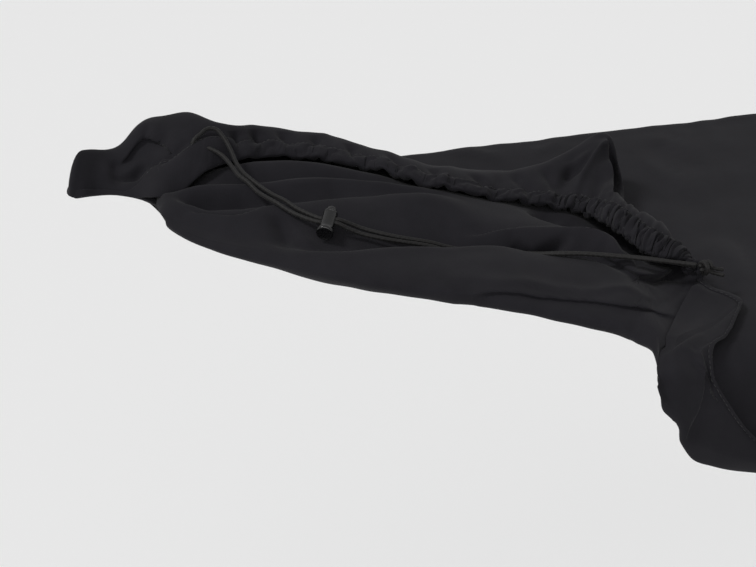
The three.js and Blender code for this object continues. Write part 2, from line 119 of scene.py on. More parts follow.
def cloth_material():
    material, tree, shader = new_material(
        "black stretch knit", color=(0.008, 0.008, 0.009), roughness=0.82,
        Sheen_Weight=0.042, Sheen_Roughness=0.55, Specular_IOR_Level=0.09,
    )
    # Fine ribs of the knit, along and across the cloth
    place = tree.nodes.new("ShaderNodeTexCoord")
    knit = tree.nodes.new("ShaderNodeMath")
    knit.operation = "MULTIPLY"
    for i, turn in enumerate((0, math.pi / 2)):
        mapping = add_node(tree, "ShaderNodeMapping", Rotation=(0, 0, turn))
        tree.links.new(place.outputs["UV"], mapping.inputs["Vector"])
        ribs = add_node(tree, "ShaderNodeTexWave", Scale=260, Distortion=0.6, Detail=1, Detail_Scale=2)
        tree.links.new(mapping.outputs["Vector"], ribs.inputs["Vector"])
        tree.links.new(ribs.outputs["Fac"], knit.inputs[i])
    bump(tree, shader, knit.outputs["Value"], Strength=0.25, Distance=0.0002)
    # Soft unevenness of the worn cloth
    worn = add_noise(tree, Scale=38, Detail=5, Roughness=0.6)
    tint(tree, shader, worn, low=0.3, high=0.75, dark=(0.0095, 0.009, 0.0113), light=(0.0138, 0.0131, 0.0161))
    roughen(tree, shader, worn, low=0.74, high=0.9)
    return material


def cord_material():
    material, tree, shader = new_material(
        "black braided cord", color=(0.015, 0.015, 0.0155), roughness=0.6,
        Sheen_Weight=0.05, Sheen_Roughness=0.4, Specular_IOR_Level=0.2,
    )
    fluff = add_noise(tree, Scale=900, Detail=3)
    tint(tree, shader, fluff, low=0.3, high=0.7, dark=(0.009, 0.0086, 0.0086), light=(0.017, 0.0163, 0.0162))
    bump(tree, shader, fluff, Strength=0.2, Distance=0.0002)
    return material


def plastic_material():
    material, tree, shader = new_material(
        "black moulded plastic", color=(0.005, 0.005, 0.0055), roughness=0.24, Specular_IOR_Level=0.6,
    )
    grain = add_noise(tree, Scale=1400, Detail=3)
    roughen(tree, shader, grain, low=0.18, high=0.3)
    bump(tree, shader, grain, Strength=0.08, Distance=0.0001)
    return material


def thread_material():
    material, tree, shader = new_material("black sewing thread", color=(0.014, 0.014, 0.015), roughness=0.6)
    twist = add_noise(tree, Scale=2500, Detail=2)
    tint(tree, shader, twist, low=0.3, high=0.7, dark=(0.011, 0.011, 0.012), light=(0.019, 0.019, 0.02))
    return material


CLOTH = cloth_material()
CORD = cord_material()
PLASTIC = plastic_material()
THREAD = thread_material()

# Smallest length that is divided by, span of a curve and radius, in millimetres
TINY = 1e-9
SHORTEST = 1e-4
TIP = 1e-3
# A way that no path starts along
ASKEW = (0.31, 0.17, 0.94)


# Mesh helpers, in millimetres
def mesh_object(name, points, faces, material, uv=None):
    mesh = bpy.data.meshes.new(name)
    mesh.from_pydata((np.asarray(points) * MM).tolist(), [], np.asarray(faces).tolist())
    mesh.shade_smooth()
    if uv is not None:
        layer = mesh.uv_layers.new(name="flat")
        corners = np.zeros(len(mesh.loops), np.int32)
        mesh.loops.foreach_get("vertex_index", corners)
        layer.data.foreach_set("uv", np.asarray(uv, np.float32)[corners].ravel())
    mesh.materials.append(material)
    obj = bpy.data.objects.new(name, mesh)
    bpy.context.collection.objects.link(obj)
    return obj


def grid_faces(rows, columns, closed=False):
    """Quads of a grid of points, its columns joined in a ring where it is closed."""
    wide = columns if closed else columns - 1
    row = np.arange(rows - 1)[:, None]
    left = np.arange(wide)[None, :]
    right = (left + 1) % columns
    near = row * columns
    far = near + columns
    quads = np.broadcast_arrays(near + left, near + right, far + right, far + left)
    return np.stack(quads, axis=-1).reshape(-1, 4)


def unit(vectors):
    return vectors / np.maximum(np.linalg.norm(vectors, axis=-1, keepdims=True), TINY)


def lengths_along(points):
    gaps = np.linalg.norm(np.diff(points, axis=0), axis=-1)
    return np.concatenate([np.zeros_like(gaps[:1]), np.cumsum(gaps, axis=0)])


def spread(lines, steps):
    """Points on the smooth curve through each line of points, with so many steps from one to the next."""
    ends = np.concatenate([2 * lines[:1] - lines[1:2], lines, 2 * lines[-1:] - lines[-2:-1]])
    spans = np.maximum(np.sqrt(np.linalg.norm(np.diff(ends, axis=0), axis=-1, keepdims=True)), SHORTEST)
    out = []
    for i, count in enumerate(steps):
        before, start, end, after = ends[i:i + 4]
        lead, span, trail = spans[i:i + 3]
        leave = ((start - before) / lead - (end - before) / (lead + span) + (end - start) / span) * span
        arrive = ((end - start) / span - (after - start) / (span + trail) + (after - end) / trail) * span
        for t in np.arange(count) / count:
            square = 3 * (end - start) - 2 * leave - arrive
            cube = 2 * (start - end) + leave + arrive
            out.append(start + t * (leave + t * (square + t * cube)))
    out.append(lines[-1])
    return np.array(out)


def even(points, step):
    """The same line with its points a step apart."""
    along = lengths_along(points)
    count = max(2, round(along[-1] / step) + 1)
    places = np.linspace(0, along[-1], count)
    return np.stack([np.interp(places, along, points[:, i]) for i in range(3)], axis=-1)


def side_frames(path):
    """Two directions across a path, turning as little as they can along it."""
    ways = unit(np.gradient(path, axis=0))
    side = unit(np.cross(ways[0], ASKEW))
    sides = []
    for way in ways:
        side = unit(side - way * np.dot(side, way))
        sides.append(side)
    sides = np.array(sides)
    return sides, np.cross(ways, sides)


# Braid of the cords
CORD_SIDES = 16
BRAID_STEP = 0.55
BRAID_PITCH = 7
BRAID_STARTS = 4
BRAID_DEPTH = 0.11


def braided_tube(path, diameter):
    """Points, faces and path of a braided cord with rounded ends along a path."""
    path = even(path, BRAID_STEP)
    sides, ups = side_frames(path)
    along = lengths_along(path)
    turn = np.linspace(0, 2 * np.pi, CORD_SIDES, endpoint=False)
    lay = 4 * np.pi * along[:, None] / BRAID_PITCH
    strands = np.maximum(np.cos(BRAID_STARTS * turn + lay), np.cos(BRAID_STARTS * turn - lay))
    radius = diameter / 2 - BRAID_DEPTH + BRAID_DEPTH * strands
    near_end = np.minimum(along, along[-1] - along)[:, None]
    cap = np.clip(near_end / (diameter / 2), 0, 1)
    radius = radius * (np.sqrt(1 - (1 - cap) ** 2) + TIP)
    ring = np.cos(turn)[None, :, None] * sides[:, None] + np.sin(turn)[None, :, None] * ups[:, None]
    points = path[:, None] + radius[..., None] * ring
    faces = grid_faces(len(path), CORD_SIDES, closed=True)
    return points.reshape(-1, 3), faces, path


def join(parts):
    """One list of points and faces from several."""
    points, faces, count = [], [], 0
    for some_points, some_faces in parts:
        points.append(some_points)
        faces.append(np.asarray(some_faces) + count)
        count += len(some_points)
    return np.concatenate(points), np.concatenate(faces)


# Drawstring: the strands' routes, from the casing to the knot
CORD_DIAMETER = 3
ROUTE_STEPS = 8
UPPER_ROUTE = np.array([
    (-374.9, 153, 59), (-376.2, 151, 61.2), (-374, 151.6, 64.6), (-369.6, 152.8, 67.2),
    (-363.4, 154.6, 70.2), (-357.9, 153.4, 69.8), (-354.4, 147.2, 65), (-352.8, 138, 58),
    (-353.8, 126, 52.2), (-354, 114, 48.4), (-352.6, 102, 46), (-348, 90.2, 41.6), (-345, 78, 39.6),
    (-342.6, 68.2, 39), (-338.6, 57.4, 35.8), (-333.4, 46, 33.6), (-329.3, 39.4, 32.4), (-324.5, 35.8, 32.3),
    (-319.7, 32.2, 32.3), (-313, 31, 29.6), (-304.6, 28.2, 25.8), (-293.9, 20.6, 22.9),
    (-282.2, 14.2, 20.3), (-264.2, 5.8, 16.9), (-252, 0, 13.4), (-237, -6, 11), (-222.4, -12.8, 10),
    (-210.5, -20.5, 10.2), (-201.5, -31, 11.6), (-192.5, -41, 13.7), (-181, -49.5, 14.4),
    (-161, -63, 14), (-142, -78.2, 13.4), (-121.6, -94.1, 10.6),
])
LOWER_ROUTE = np.array([
    (-365.5, 146.6, 57.4), (-366.6, 144.6, 58.9), (-364, 141.4, 58), (-360.6, 134, 55.6),
    (-358.6, 122, 51), (-358.4, 110, 47.4), (-356, 100, 45), (-353, 88.8, 40.4), (-351.4, 77, 39.4),
    (-348.8, 67.2, 38.2), (-343.4, 56, 34.4), (-337.4, 44.2, 32.2), (-331.3, 36.8, 30.9),
    (-326.5, 33.2, 30.9), (-321.7, 29.6, 30.9), (-315.4, 26.8, 27.4), (-307.6, 23.6, 23.8),
    (-296.2, 16.8, 21), (-284, 11, 18.7), (-266, 2.6, 15.5), (-254.4, -3.8, 12.2), (-239.6, -9.6, 10.8),
    (-225.4, -16, 10.2), (-213.4, -23.8, 10.6), (-204.4, -34, 12.4), (-195.2, -44, 14.4),
    (-183.4, -52.5, 15.4), (-163.4, -66, 14.8), (-144.4, -81.2, 14.2), (-123.1, -96.8, 12.8),
])


def make_strand(name, route):
    path = spread(route, [ROUTE_STEPS] * (len(route) - 1))
    points, faces, path = braided_tube(path, CORD_DIAMETER)
    obj = mesh_object(name, points, faces, CORD)
    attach(obj, "cloth")
    return obj, path


upper_strand, upper_path = make_strand("drawstring_upper", UPPER_ROUTE)
lower_strand, lower_path = make_strand("drawstring_lower", LOWER_ROUTE)
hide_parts("cord_upper")
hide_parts("cord_lower")

# Knot of both strands: wraps round a core, and two strands that come in side by side and leave as short ends
KNOT_AT = np.array((-117.5, -97.8, 10.4))
KNOT_CORD = 2.7
KNOT_TURNS = 2.5
KNOT_POINTS = 90
WRAP_HALF_LENGTH = 2.6
WRAP_SWAY = 0.7
WRAP_RADII = (3.7, 3.996)
WRAP_DRAWN_IN = 0.12
KNOT_STEPS = 6
KNOT_STRANDS = [
    [(-4.6, 0.8, 1.8), (-2, 0.8, 1), (1, 0.6, 0.8), (4.4, -0.6, -0.4), (8.6, -2.2, -1.4), (12.6, -3.2, -2.2)],
    [(-4.6, -0.6, -1.2), (-2, -1, -0.8), (1.4, -1, -1.6), (4.4, -1.8, -3.2), (7.8, -4, -4.2),
     (11.4, -6.4, -4.8)],
]


def make_knot():
    turn = np.linspace(0, 2 * np.pi * KNOT_TURNS, KNOT_POINTS)
    share = np.linspace(-1, 1, KNOT_POINTS)
    drawn_in = 1 - WRAP_DRAWN_IN * share ** 2
    wrap = np.stack([
        WRAP_HALF_LENGTH * share + WRAP_SWAY * np.sin(turn / 2),
        WRAP_RADII[0] * np.cos(turn) * drawn_in,
        WRAP_RADII[1] * np.sin(turn) * drawn_in,
    ], axis=-1)
    strands = [
        spread(np.array(stops, float), [KNOT_STEPS] * (len(stops) - 1))
        for stops in KNOT_STRANDS
    ]
    lines = [wrap, *strands]
    tubes = [braided_tube(line + KNOT_AT, KNOT_CORD)[:2] for line in lines]
    points, faces = join(tubes)
    obj = mesh_object("drawstring_knot", points, faces, CORD)
    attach(obj, "cloth")
    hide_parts("knot")
    return obj


knot = make_knot()

# Cord lock: turned barrel and push button, in a frame whose z runs along the barrel and x along the cords
LOCK_AT = np.array((-325.5, 34.5, 31.6))
LOCK_CORD = np.array((0.8, -0.6, 0))
LOCK_UP = unit(np.array((0.55, 0.73, 0.405)))
LOCK_ACROSS = unit(np.cross(LOCK_UP, LOCK_CORD))
LOCK_AXES = np.stack([np.cross(LOCK_ACROSS, LOCK_UP), LOCK_ACROSS, LOCK_UP])
LOCK_SIDES = 56
# Outlines from the axis round to the axis again: radius and height
BARREL_OUTLINE = [
    (0, -12.2), (3.2, -12.3), (4.5, -12.7), (5.1, -13), (5.5, -12.85), (5.75, -12.5), (5.8, -12),
    (5.8, -11.3), (5.6, -10.6), (5.2, -9.6), (4.97, -8.6), (4.9, -7.4), (4.9, -4), (4.9, 0), (4.9, 4),
    (4.9, 5.2), (4.7, 5.35), (4.7, 5.95), (4.9, 6.1), (4.9, 7.3), (4.8, 7.75), (4.5, 8), (4, 8),
    (3.85, 7.9), (3.75, 7.6), (3.75, 3), (3.75, -11.4), (0, -11.4),
]
BUTTON_OUTLINE = [
    (0, -8), (3.1, -8), (3.4, -7.7), (3.4, 0), (3.4, 8.6), (3.4, 10.6), (3.28, 11.3), (2.95, 11.95),
    (2.4, 12.4), (1.9, 12.6), (1.6, 12.55), (1.1, 12.2), (0, 12.05),
]
# Holes for the cords, across both pieces; the button's is longer, by its travel
SLOT_SIDES = 32
SLOT_WIDTH = 4.2
SLOT_REACH = 12
SLOT_LOW = -3.9
BARREL_SLOT_HIGH = 3.9
BUTTON_SLOT_HIGH = 6.9
SHARP_ANGLE = math.radians(38)


def turned_object(name, outline, material):
    turn = np.linspace(0, 2 * np.pi, LOCK_SIDES, endpoint=False)
    radius, height = np.array(outline, float).T
    radius = np.maximum(radius, TIP)
    local = np.stack(np.broadcast_arrays(
        radius[:, None] * np.cos(turn), radius[:, None] * np.sin(turn), height[:, None],
    ), axis=-1)
    points = local.reshape(-1, 3) @ LOCK_AXES + LOCK_AT
    return mesh_object(name, points, grid_faces(len(outline), LOCK_SIDES, closed=True), material)


def cut_slot(obj, high):
    """Cuts a hole with round ends across a turned piece, where the cords go through it."""
    turn = np.linspace(0, 2 * np.pi, SLOT_SIDES, endpoint=False)
    radius = SLOT_WIDTH / 2
    straight = (high - SLOT_LOW) / 2 - radius
    height = (high + SLOT_LOW) / 2 + np.sin(turn) * radius + np.where(np.sin(turn) >= 0, straight, -straight)
    ring = np.stack([np.zeros_like(turn), np.cos(turn) * radius, height], axis=-1)
    rings = np.stack([ring + (reach, 0, 0) for reach in (-SLOT_REACH, SLOT_REACH)])
    faces = grid_faces(2, SLOT_SIDES, closed=True).tolist()
    caps = [list(range(SLOT_SIDES)), list(range(2 * SLOT_SIDES - 1, SLOT_SIDES - 1, -1))]
    points = rings.reshape(-1, 3) @ LOCK_AXES + LOCK_AT
    mesh = bpy.data.meshes.new("slot")
    mesh.from_pydata((points * MM).tolist(), [], faces + caps)
    cutter = bpy.data.objects.new("slot", mesh)
    bpy.context.collection.objects.link(cutter)
    modifier = obj.modifiers.new("slot", "BOOLEAN")
    modifier.operation = "DIFFERENCE"
    modifier.object = cutter
    bpy.context.view_layer.update()
    done = bpy.data.meshes.new_from_object(obj.evaluated_get(bpy.context.evaluated_depsgraph_get()))
    obj.modifiers.clear()
    obj.data = done
    bpy.data.objects.remove(cutter)
    done.shade_smooth()
    done.set_sharp_from_angle(angle=SHARP_ANGLE)


def make_lock():
    barrel = turned_object("lock_body", BARREL_OUTLINE, PLASTIC)
    cut_slot(barrel, BARREL_SLOT_HIGH)
    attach(barrel, "cloth")
    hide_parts("lock_barrel")
    button = turned_object("lock_plunger", BUTTON_OUTLINE, PLASTIC)
    cut_slot(button, BUTTON_SLOT_HIGH)
    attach(button, "button")
    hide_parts("lock_button")


make_lock()

# Cover: the edges that it lies over, and heights of the top at some depths
FRONT_Y = -170
BACK_Y = 170
END_X = 480
DECK_Y = (-200, -170, -78, 13, 170, 420)
DECK_Z = (-29, -26, -5.7, 1.9, 30, 73)
# Front face, bulge of the end wall, and radius of the bends
FACE_Y = -178
END_BULGE = 12
BEND = 10
# Back skirt: its depth; from the hem up, how far its points stand out behind the edge and a tuck draws them
# in; rise and sag of the point above the hem; places of the next two and of the last
SKIRT = 86
SKIRT_OUT = (3, 4, 5, 5, 2)
SKIRT_TUCK = (29, 10, 0, 0, 0)
HEM_RISE = 3
HEM_SHARE = 0.09
TUCK_SAG = 5
SKIRT_SHARES = (0.82, 0.42)
SKIRT_TOP = 1.5
# The tuck comes in over so much of the skirt's depth
TUCK_OVER = 30


def table(columns, rows):
    """Rows by the names of their columns."""
    return [dict(zip(columns.split(), row)) for row in rows]


# Folded-back end, a row for each section; fine: rows of the mesh up to the next one; gather: strength of the
# hem's gathers; fold: place of the fold's edge; heading: degrees that the section runs at from there; back:
# where it starts on the back edge; skirt: depth there; nose: how far the edge bulges; then the ridges and
# hollows from the edge back, with their reach and height
RIDGES = "lip dip crest trough rim gap roll end puff top brow hem"
RIDGE_COUNT = len(RIDGES.split())
FOLDED = table("at fine gather fold heading back skirt nose " + RIDGES, [
    ("tail tip", 14, 0.25, (-456, 163), 56, -457, 3, 2,
     (3, 5.5), (6, 7), (9, 8), (12, 9), (15, 10), (18, 11),
     (20, 13), (22, 16), (22, 23), (12, 29), (-4, 15), (-7, 3.5)),
    ("tail", 12, 0.25, (-434, 162), 62, -432, 3, 2,
     (2, 5), (7, 5.5), (12, 5), (17, 5), (22, 5), (26, 5),
     (30, 6), (34, 8), (37, 16), (23, 24), (2, 14), (-6.5, 3.5)),
    ("band foot", 12, 0.15, (-415, 149), 66, -404, 4, 2,
     (3, 4), (9, 3.5), (15, 3.5), (22, 3.5), (29, 3.5), (37, 4),
     (46, 5), (56, 8), (64, 22), (46, 38), (14, 17), (-9, 6)),
    ("roll start", 10, 0.15, (-411, 126), 66, -388, 14, 3,
     (1, 4.5), (4, 5), (9, 5.5), (15, 5), (22, 4), (32, 4),
     (48, 4), (72, 5), (84, 23), (66, 42), (32, 25), (2, 10)),
    ("roll end", 14, 0.15, (-412, 106), 60, -372, 24, 5,
     (1, 8), (3, 11), (9, 15), (17, 16), (25, 13), (38, 4),
     (58, 4), (92, 5), (108, 24), (86, 45), (54, 33), (24, 9)),
    ("band head", 24, 0.2, (-402, 77), 60, -350, 42, 4,
     (2, 6), (7, 7.5), (23, 16), (33, 10), (44, 22), (58, 15),
     (78, 17), (105, 8), (124, 22), (102, 42), (88, 38), (68, 23)),
    ("cuff", 30, 0.7, (-375, 42), 60, -318, 56, 5,
     (4, 9), (11, 11), (35, 23), (49, 15), (66, 26), (84, 11),
     (105, 25), (124, 9), (168, 16), (147, 32), (131, 31), (117, 23)),
    ("lock", 30, 0.8, (-340, -4), 58, -262, 76, 8,
     (10, 18), (23, 13), (80, 26), (88, 22), (101, 30), (110, 23),
     (121, 28), (138, 18), (186, 14), (163, 29), (147, 31), (132, 26.5)),
    ("broad", 30, 0.9, (-302, -38), 54, -180, SKIRT, 5,
     (38, 17), (50, 7.5), (100, 29), (111, 25), (118, 25), (127, 22),
     (140, 15), (158, 7), (178, 13), (146, 31), (130, 32), (117, 29)),
    ("step", 28, 0.9, (-270, -66), 48, -62, SKIRT, 3,
     (62, 17), (69, 5.5), (84, 20), (118, 21), (134, 18), (142, 15.5),
     (160, 12), (190, 6), (214, 12), (188, 27), (164, 24), (141, 19)),
    ("peak", 32, 1.1, (-248, -84), 45, 10, SKIRT, 3,
     (66, 15), (76, 5.5), (94, 22), (124, 16), (138, 13), (150, 11.5),
     (175, 7), (215, 5), (244, 16), (230, 43), (188, 28), (149, 16)),
    ("gathers", 44, 1.4, (-228, -100), 43, 60, SKIRT, 3,
     (70, 14), (80, 8), (96, 25), (110, 14), (122, 8), (132, 5),
     (146, 5), (170, 5), (176, 9), (152, 29), (136, 28), (118, 21)),
    ("loop", 36, 1.4, (-200, -122), 40, 120, SKIRT, 3,
     (30, 15), (48, 12), (60, 10), (70, 8), (80, 6), (88, 5),
     (96, 5), (108, 5), (120, 12), (104, 29), (90, 27), (76, 20)),
    ("knot", 12, 0.8, (-191, -135), 31.7, 160, SKIRT, 3,
     (5, 8), (12, 10), (21, 10), (31, 9), (41, 8), (52, 7),
     (62, 7), (72, 7), (80, 8), (86, 10), (89, 14), (88, 19)),
    ("brink", 12, 0.3, (-187, -147), 36, 176, SKIRT, 4,
     (1.6, 8), (5, 10), (10, 10), (16, 9), (27, 8), (39, 7),
     (50, 7), (61, 7), (71, 7.5), (79, 8), (86, 9), (91, 9)),
])
# Turned-up front, which hangs below the front edge as a loose lobe; edge_x, fold_x, over_x: where it leaves
# the edge, turns up and comes over the edge again; drop: depth of its fold; turn: degrees that it turns by;
# up: length of the cloth from there on; heading: its way over the top; sway: how far its upper layer lies to
# the left of the lower one; loose: room in the fold
LOBE = table("at fine gather back edge_x fold_x drop turn over_x up heading sway loose", [
    ("leaf edge", 8, 0.12, 192, -196, -203, 5, 180, -204, 124, 30, 5, 8),
    ("leaf", 8, 0.12, 212, -190, -201, 12, 180, -199, 118, 26, 5, 10),
    ("leaf tip", 8, 0.12, 232, -184, -193, 20, 180, -192, 104, 24, 4, 12),
    ("waist", 8, 0.12, 252, -176, -188, 34, 180, -182, 83, 18, 2, 12),
    ("pinch", 10, 0.12, 270, -166, -180, 47, 180, -174, 64, 4, 0, 12),
    ("brim", 12, 0.12, 284, -151, -164, 55, 180, -167, 52, 10, 0, 12),
    ("turn", 14, 0.12, 296, -133, -144, 62, 180, -158, 36, 10, 0, 12),
    ("turn end", 8, 0.12, 306, -112, -120, 67, 180, -148, 12, 10, 0, 12),
    ("flick", 8, 0.12, 314, -88, -92, 70, 100, -120, 14, 10, 0, 12),
    ("flare", 8, 0.12, 324, -60, -62, 71, 40, -80, 14, 10, 0, 12),
])
# Fitted part, drawn in under the keyboard; front, back: where it crosses the edges; drop, tuck: depth of the
# front, and how far it goes on underneath; back_tuck: share of the tuck behind; even: 1 where its lines are
# evenly apart, 0 where they lie close to the hem
FITTED = table("at fine gather front back drop tuck back_tuck even", [
    ("hang", 10, 0.3, -34, 334, 80, 0, 1, 0),
    ("slack", 12, 0.4, 14, 350, 68, 12, 1, 0.5),
    ("easing", 18, 0.5, 80, 375, 46, 30, 1, 1),
    ("snug", 22, 0.5, 220, 420, 34, 34, 1, 1),
    ("near end", 8, 0.5, 430, 450, 34, 18, 0.5, 1),
    ("end edge", 5, 0.4, END_X, END_X, 36, 0, 0, 1),
])
# End wall, by the share of its height
END_WALL = table("share fine gather", [(0.3, 6, 0.4), (0.7, 6, 0.4), (1, 1, 0.4)])
# Columns of the mesh between one control line and the next, from the back hem to the front hem
COLUMN_STEPS = [2, 2, 3, 3, 3, 8, 9, 9, 7, 4, 5, 28, 6, 18, 9, 7, 6, 7, 7, 7, 9, 14, 13]
# Places of the lines: on the top, before the fold and at it, on the lobe's fall and face, and the close ones
DECK_SHARES = (0.04, 0.25, 0.5, 0.75)
FOLD_SHARE = 0.93
FOLD_HEIGHT = 0.3
FALL_SHARE = 0.6
FACE_SHARES = (0.15, 0.4, 0.65, 0.9)
MOST_FACE = 0.7
CLOSE_FIRST = 0.4
CLOSE_NEXT = 0.62


def deck_height(y):
    return np.interp(y, DECK_Y, DECK_Z)


def mixed(a, b, share):
    return a + (b - a) * share


def back_skirt(x, depth, tuck):
    top = deck_height(BACK_Y)
    rise = min(HEM_RISE, HEM_SHARE * depth) - TUCK_SAG * tuck
    falls = (depth, depth - rise, *(share * depth for share in SKIRT_SHARES), SKIRT_TOP)
    return [
        (x, BACK_Y + out - inward * tuck, top - fall)
        for out, inward, fall in zip(SKIRT_OUT, SKIRT_TUCK, falls)
    ]


def deck_line(back_x, x, y, shares):
    return [
        (mixed(back_x, x, share), mixed(BACK_Y, y, share), deck_height(mixed(BACK_Y, y, share)))
        for share in shares
    ]


def folded_section(row):
    fold_x, fold_y = row["fold"]
    heading = math.radians(row["heading"])

    def place(reach, height):
        y = fold_y + reach * math.sin(heading)
        return fold_x + reach * math.cos(heading), y, deck_height(y) + height

    nose_x, nose_y, _ = place(-row["nose"], 0)
    tuck = np.clip((row["skirt"] - SKIRT) / TUCK_OVER + 1, 0, 1)
    return [
        *back_skirt(row["back"], row["skirt"], tuck),
        *deck_line(row["back"], fold_x, fold_y, (*DECK_SHARES, FOLD_SHARE)),
        place(0, FOLD_HEIGHT),
        (nose_x, nose_y, deck_height(fold_y) + row["lip"][1] / 2),
        *(place(*row[name]) for name in RIDGES.split()),
    ]


def lobe_distances(row, down, around, climb):
    """How far along the lobe its lines are, from the front edge on."""
    face = min(climb, MOST_FACE * row["up"])
    count = RIDGE_COUNT - len(FACE_SHARES)
    rest = (row["up"] - face) / count
    on_face = [face * share for share in FACE_SHARES]
    on_top = [face + rest * (i + 1) for i in range(count)]
    return [FALL_SHARE * down, down + around / 2, *(down + around + up for up in on_face + on_top)]


def lobe_section(row):
    """Down the front, round the fold's edge, and up over the front edge again."""
    heading = math.radians(row["heading"])
    edge = np.array((row["edge_x"], FRONT_Y, deck_height(FRONT_Y)))
    over = np.array((row["over_x"], FRONT_Y, edge[2]))
    fold = np.array((row["fold_x"], FACE_Y, edge[2] - row["drop"]))
    down = np.linalg.norm(edge - fold)
    climb = np.linalg.norm(fold - over)
    radius = row["loose"] / 2
    turn = math.radians(row["turn"])
    aside = np.array((-row["sway"], 0, 0))

    def around(angle):
        rounded = np.array((0, radius * (math.cos(angle) - 1), -radius * math.sin(angle)))
        return fold + aside * angle / math.pi + rounded

    def path_point(along):
        if along < down:
            return mixed(edge, fold, along / down)
        up = along - down - turn * radius
        if up < 0:
            return around((along - down) / radius)
        if row["turn"] < 180:
            way = np.array((0, -math.sin(turn), 0)) + (fold - edge) * (1 + math.cos(turn)) / 2 / down
            return around(turn) + unit(way + (over - fold) * (1 - math.cos(turn)) / 2 / climb) * up
        on_top = max(0, up - climb)
        point = mixed(fold + aside, over, min(1, up / climb))
        point += np.array((on_top * math.cos(heading), on_top * math.sin(heading), 0))
        if on_top > 0:
            point[2] = deck_height(point[1])
        lean = np.clip((up - climb + BEND) / (2 * BEND), 0, 1)
        lean = lean * lean * (3 - 2 * lean)
        return point + unit(np.array((0, lean - 1, lean))) * row["loose"]

    distances = lobe_distances(row, down, turn * radius, climb)
    return [
        *back_skirt(row["back"], SKIRT, 1),
        *deck_line(row["back"], row["edge_x"], FRONT_Y, DECK_SHARES),
        edge,
        *(path_point(along) for along in distances),
    ]


def fitted_section(row):
    """Straight down the front, then in under the keyboard."""
    top = deck_height(FRONT_Y)
    columns = RIDGE_COUNT + 2
    points = []
    for i in range(columns):
        close = CLOSE_FIRST if i == 0 else mixed(CLOSE_NEXT, 1, (i - 1) / RIDGE_COUNT)
        along = (row["drop"] + row["tuck"]) * mixed(close, (i + 1) / columns, row["even"])
        under = max(0, along - row["drop"])
        turn = min(math.pi / 2, under / BEND)
        beyond = max(0, under - BEND * math.pi / 2)
        y = mixed(FRONT_Y, FACE_Y, min(1, along / BEND)) + BEND * (1 - math.cos(turn)) + beyond
        points.append((row["front"], y, top - min(along, row["drop"]) - BEND * math.sin(turn)))
    return [
        *back_skirt(row["back"], SKIRT, row["back_tuck"]),
        *deck_line(row["back"], row["front"], FRONT_Y, DECK_SHARES),
        (row["front"], FRONT_Y, top),
        *points,
    ]


def end_section(section, share):
    """The end edge's section slid down the end wall."""
    along = lengths_along(section)[:, None] / lengths_along(section)[-1]
    low = mixed(section[0], section[-1], along)
    points = mixed(section, low, share)
    points[:, 0] = END_X + END_BULGE * math.sin(math.pi / 2 * share)
    points[:, 1] = mixed(section[:, 1], low[:, 1], share ** 2)
    return points


ROWS = [*FOLDED, *LOBE, *FITTED, *END_WALL]
ROW_STEPS = [row["fine"] for row in ROWS[:-1]]


def cover_sections():
    fitted = [np.array(fitted_section(row), float) for row in FITTED]
    return np.array([
        *(np.array(folded_section(row), float) for row in FOLDED),
        *(np.array(lobe_section(row), float) for row in LOBE),
        *fitted,
        *(end_section(fitted[-1], row["share"]) for row in END_WALL),
    ])


def stations(steps):
    """Place of each mesh line among the control lines."""
    places = [i + k / count for i, count in enumerate(steps) for k in range(count)]
    return np.array([*places, len(steps)])


def grid_normals(grid):
    return unit(np.cross(np.gradient(grid, axis=1), np.gradient(grid, axis=0)))


# Gathers of the hem: pleats that fade out up the cloth and run together as they do, in millimetres
GATHERS = table("pleats height fade", [(1, 1.1, 11), (2, 1.9, 22), (4, 1.2, 58)])
# Their drift along the hem, how unevenly they swell, and the length of a pleat with the heights above
DRIFT = 0.4
DRIFT_WAVES = (31, 47, 83)
SWELL = 0.8
SWELL_DRIFT = 0.35
SWELL_WAVES = (38, 61)
USUAL_PLEAT = 7
# Soft unevenness of all the cloth: height and length of its waves, their count, and how the length varies
RIPPLES = table("height wave", [(0.5, 60), (0.25, 26)])
RIPPLE_WAVES = 9
RIPPLE_SHARES = (0.7, 1.5)
# Strands, looked at in steps: the room round them that the cloth doesn't rise into, and how soon it may again
CORD_STEP = 4
CORD_ROOM = 4
CORD_FADE = 12
# Rounded end of the tail, its middle without the skirt's columns
TAIL_ROWS = 7
TAIL_BULGE = (-7, -1, 0)
TAIL_SKIRT = 5
RANDOM = np.random.default_rng(7)

